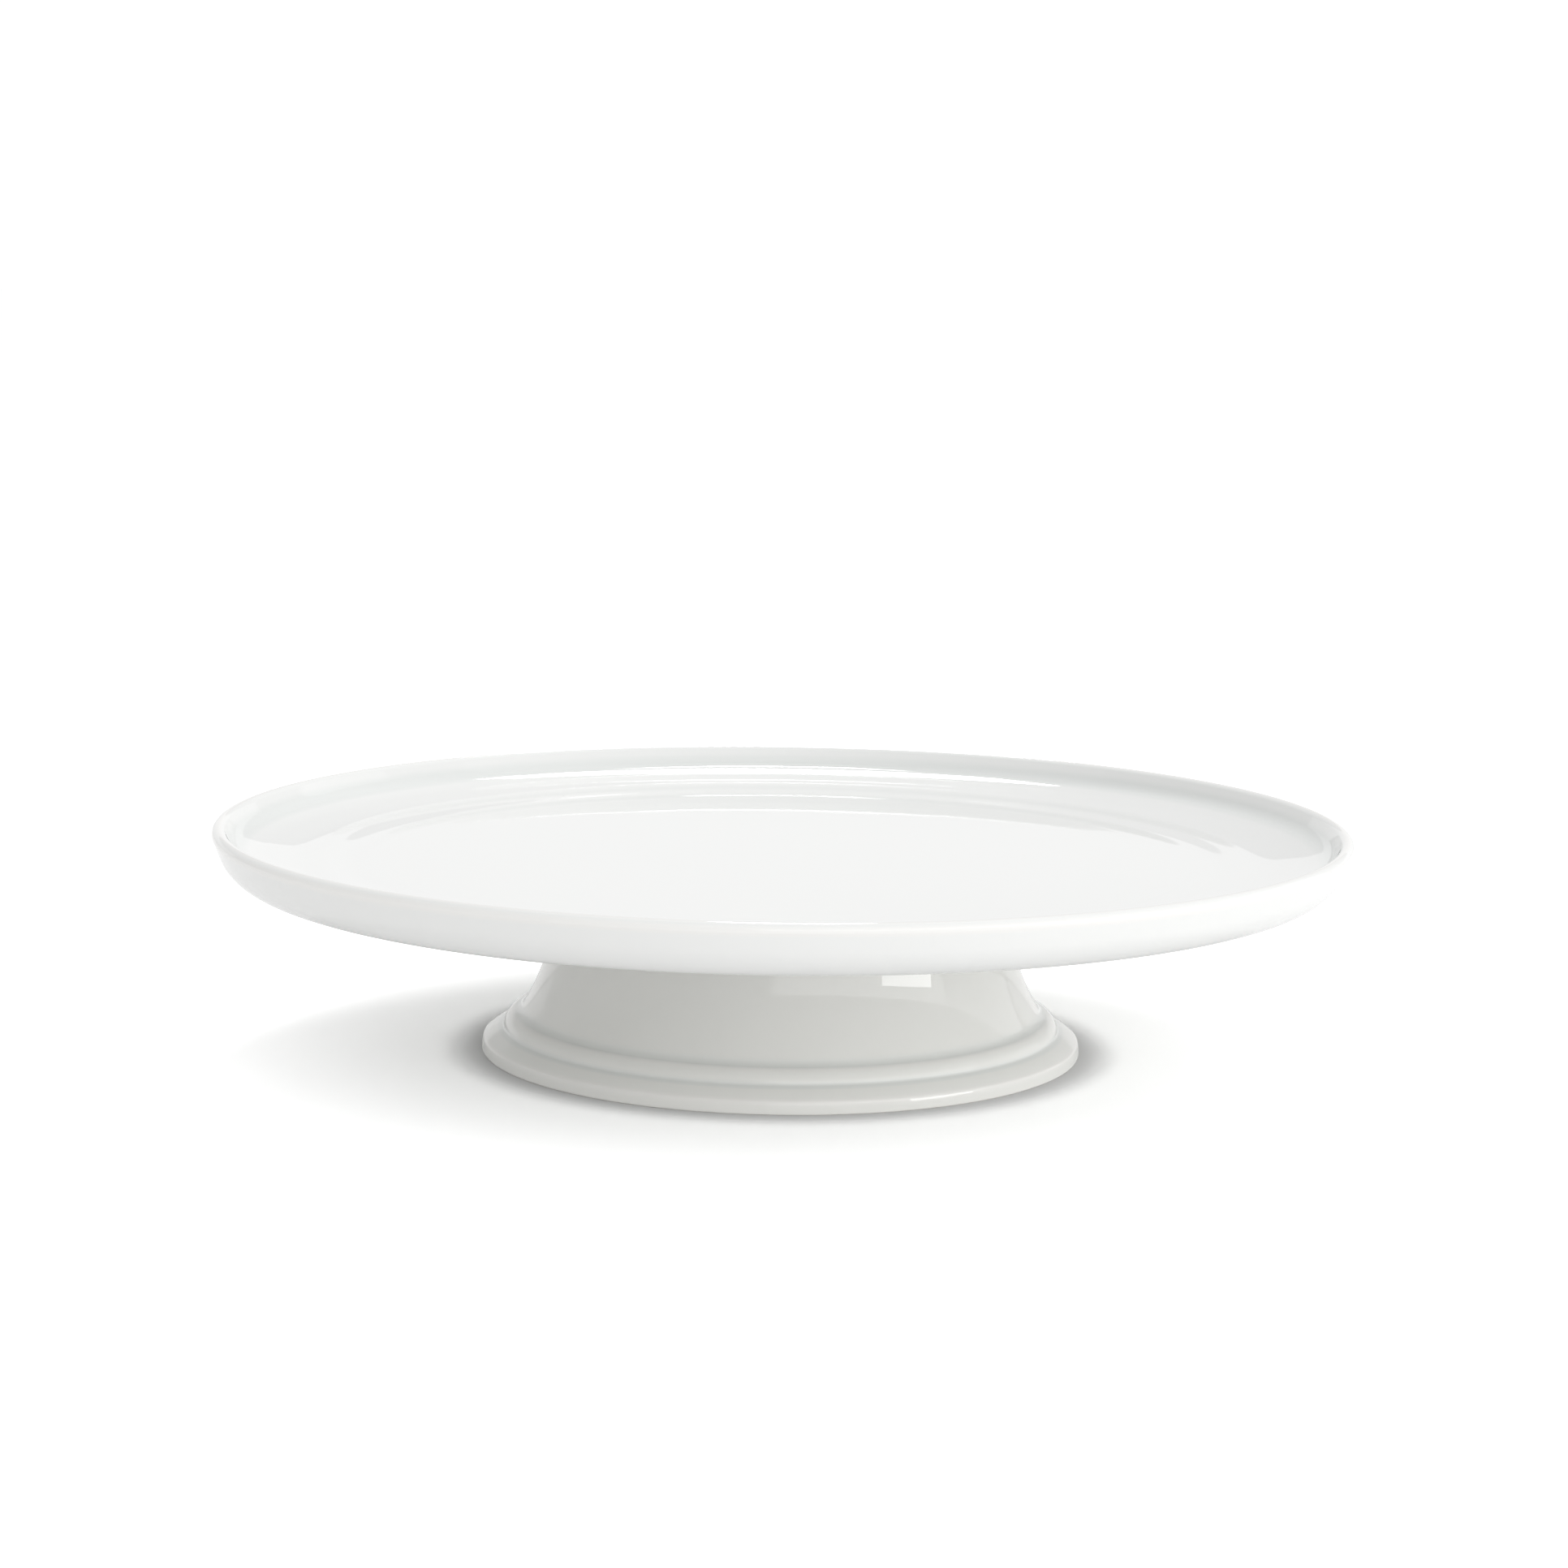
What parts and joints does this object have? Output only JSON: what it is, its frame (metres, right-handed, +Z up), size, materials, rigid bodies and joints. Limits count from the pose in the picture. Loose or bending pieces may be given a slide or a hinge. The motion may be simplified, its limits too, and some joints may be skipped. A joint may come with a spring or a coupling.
{
  "type": "cake stand",
  "caption": "Low footed cake stand in white glazed porcelain: a round plate with a shallow upturned wall on a wide, hollow, flared foot.",
  "frame": {"origin": "on the surface that the stand rests on, under the middle of the foot", "axes": "+Z up along the axis that every piece is turned about; X and Y are free, since the stand is round"},
  "size_m": [0.31, 0.31, 0.063],
  "materials": {
    "porcelain_glaze": "glossy clear glaze over white porcelain; the ring that the stand rests on is unglazed",
    "slip_glaze": "glossy clear glaze, pooled a little thicker in the joint"
  },
  "bodies": {
    "root": {"plate": "porcelain_glaze", "pedestal": "porcelain_glaze", "slip_seam": "slip_glaze"}
  },
  "joints": []
}
